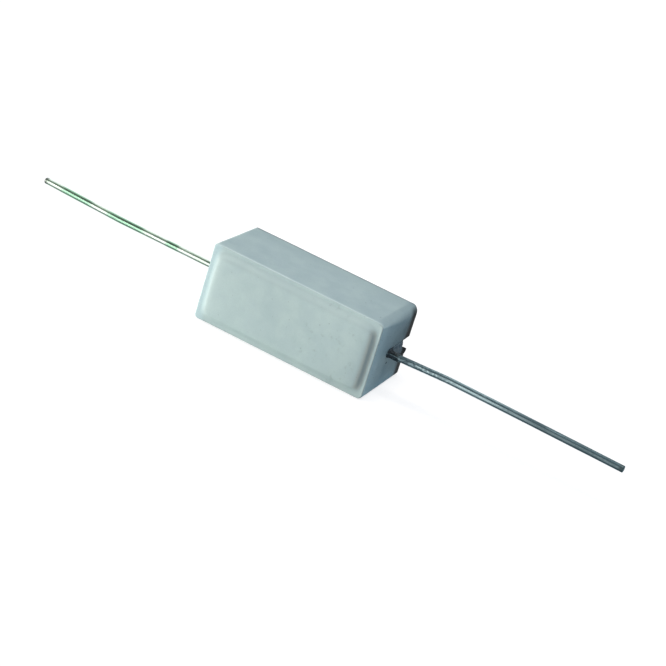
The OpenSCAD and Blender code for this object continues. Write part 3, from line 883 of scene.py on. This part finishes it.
def core_ceramic():
    s = Shader("core_ceramic")
    grain = s.noise(**CORE_NOISE)
    s.begin(s.curve(grain, HIDDEN_RANGE), *CORE_COLOURS)
    return s.done(s.curve(grain, CORE_ROUGH_RANGE, CORE_ROUGH), {})


# The floor, the lamps and the camera
FLOOR_BOUNCE = (0.62, 0.66, 0.68)
FLOOR_SHADE = (0.3, 0.3, 0.3)
FLOOR_WHITE = 0.82
FLOOR_HALF = 1.5
WORLD_COLOUR = (0.03, 0.47, 1.0)
WORLD_STRENGTH = 0.225
WHITE = (1.0, 1.0, 1.0, 1.0)
LAMP_SIZE_DEG = 30
KEY_LAMP = {"towards": (-0.82, -0.57, 0.06), "strength": 5.7, "colour": (1.0, 0.895, 0.787)}
SKY_LAMP = {"towards": (-0.05, 0.05, 1.0), "strength": 2.1, "colour": (1.0, 0.89, 0.815)}
CAMERA_DISTANCE = 0.32
CAMERA_LENS, CAMERA_SENSOR, CAMERA_CLIP = 155.5, 36, (0.01, 10)
CAMERA_AZIMUTH, CAMERA_ELEVATION, CAMERA_ROLL = map(math.radians, (21.06, 26.21, 16.81))
CAMERA_AIM = (0.003797, 0.0, 0.003557)


def floor_material():
    """A pale floor that the camera sees as white, with the object's shadow on it."""
    s = Shader("pale_floor")
    nodes = s.tree.nodes
    nodes.remove(s.surface)
    rays = s.add("ShaderNodeLightPath")
    seen = rays.outputs["Is Camera Ray"]
    for kind in ("Is Glossy Ray", "Is Transmission Ray"):
        both_kinds = s.add("ShaderNodeMath", operation="ADD", use_clamp=True)
        s.link(seen, both_kinds.inputs[0])
        s.link(rays.outputs[kind], both_kinds.inputs[1])
        seen = both_kinds.outputs[0]
    shade = s.add("ShaderNodeBsdfDiffuse")
    s.link(s.mix(seen, FLOOR_BOUNCE, FLOOR_SHADE), shade.inputs["Color"])
    glow = s.add("ShaderNodeEmission")
    glow.inputs["Color"].default_value = WHITE
    s.link(s.times(seen, FLOOR_WHITE), glow.inputs["Strength"])
    together = s.add("ShaderNodeAddShader")
    s.link(shade.outputs[0], together.inputs[0])
    s.link(glow.outputs[0], together.inputs[1])
    s.link(together.outputs[0], nodes["Material Output"].inputs["Surface"])
    return s.material


def floor():
    mesh = bpy.data.meshes.new("floor")
    corners = [(x * FLOOR_HALF, y * FLOOR_HALF, 0) for x, y in ((-1, -1), (1, -1), (1, 1), (-1, 1))]
    mesh.from_pydata(corners, [], [(0, 1, 2, 3)])
    obj = bpy.data.objects.new("floor", mesh)
    bpy.context.scene.collection.objects.link(obj)
    mesh.materials.append(floor_material())


def world():
    """A bluish surround that the camera and glossy rays see as white."""
    scene_world = bpy.data.worlds.new("studio")
    bpy.context.scene.world = scene_world
    scene_world.use_nodes = True
    tree = scene_world.node_tree
    background = tree.nodes["Background"]
    rays = tree.nodes.new("ShaderNodeLightPath")
    seen = tree.nodes.new("ShaderNodeMath")
    seen.operation = "ADD"
    seen.use_clamp = True
    tree.links.new(rays.outputs["Is Camera Ray"], seen.inputs[0])
    tree.links.new(rays.outputs["Is Glossy Ray"], seen.inputs[1])
    colour = tree.nodes.new("ShaderNodeMix")
    colour.data_type = "RGBA"
    colour.inputs[6].default_value = tuple(c * WORLD_STRENGTH for c in WORLD_COLOUR) + (1.0,)
    colour.inputs[7].default_value = WHITE
    tree.links.new(seen.outputs[0], colour.inputs["Factor"])
    tree.links.new(colour.outputs[2], background.inputs["Color"])


def lamp(name, towards, strength, colour):
    data = bpy.data.lights.new(name, "SUN")
    data.energy, data.color, data.angle = strength, colour, math.radians(LAMP_SIZE_DEG)
    obj = bpy.data.objects.new(name, data)
    obj.rotation_euler = Vector(towards).to_track_quat("Z", "Y").to_euler()
    bpy.context.scene.collection.objects.link(obj)


def camera():
    data = bpy.data.cameras.new("camera")
    data.lens, data.sensor_width = CAMERA_LENS, CAMERA_SENSOR
    data.clip_start, data.clip_end = CAMERA_CLIP
    az, el, roll = CAMERA_AZIMUTH, CAMERA_ELEVATION, CAMERA_ROLL
    forward = Vector((-math.sin(az) * math.cos(el), math.cos(az) * math.cos(el), -math.sin(el)))
    level = forward.cross(Vector((0, 0, 1))).normalized()
    raised = level.cross(forward)
    right = level * math.cos(roll) + raised * math.sin(roll)
    up = raised * math.cos(roll) - level * math.sin(roll)
    turn = Matrix((right, up, -forward)).transposed().to_4x4()
    obj = bpy.data.objects.new("camera", data)
    obj.matrix_world = Matrix.Translation(Vector(CAMERA_AIM) - forward * CAMERA_DISTANCE) @ turn
    bpy.context.scene.collection.objects.link(obj)
    bpy.context.scene.camera = obj


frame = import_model()
camera()

dress(ceramic_shell(), "ceramic_case", ceramic())
dress(cement_potting(), "cement_fill", cement())
left_steps = [(BURIED + LEFT_BEND_AT, LEFT_BEND, BEND_L), (LEFT_L - LEFT_BEND_AT - BEND_L, 0, 0)]
right_steps = [
    (BURIED + RIGHT_ROOT_AT, RIGHT_ROOT_BEND, BEND_L),
    (RIGHT_ROOT_L, -RIGHT_KNEE_BEND, BEND_L),
    (BEND_L, -RIGHT_SWEEP, RIGHT_SWEEP_L),
    (RIGHT_L - RIGHT_ROOT_AT - RIGHT_ROOT_L - RIGHT_SWEEP_L - 3 * BEND_L, 0, 0),
]
left_wire = lead_wire("left_lead_wire", -1, left_steps, seed=21, root_lumps=0.02, tip_r=0.22, thin=0.05)
# The left lead's finish holds painted light, and the right lead's painted shade
dress(left_wire, "lead_left", tinned("lit_bright_tin", **LIT_BRIGHT_WIRE))
right_wire = lead_wire("right_lead_wire", 1, right_steps, seed=31, root_lumps=0.06, tip_r=0.06, thin=0.0)
dress(right_wire, "lead_right", tinned("shaded_dull_tin", **SHADED_DULL_WIRE))

hidden = {
    "core_rod": core_ceramic(),
    "resistance_wire": plain_metal("resistance_alloy", ALLOY_COLOURS, ALLOY_ROUGH),
    "end_cap_left": plain_metal("cap_steel", STEEL_COLOURS, STEEL_ROUGH),
    "end_cap_right": plain_metal("cap_steel_right", STEEL_COLOURS, STEEL_ROUGH),
}
for node, material in hidden.items():
    mesh = frame["nodes"][node].data
    mesh.materials.clear()
    mesh.materials.append(material)

floor()
world()
lamp("key", **KEY_LAMP)
lamp("sky", **SKY_LAMP)
bpy.context.scene.view_settings.view_transform = "Standard"
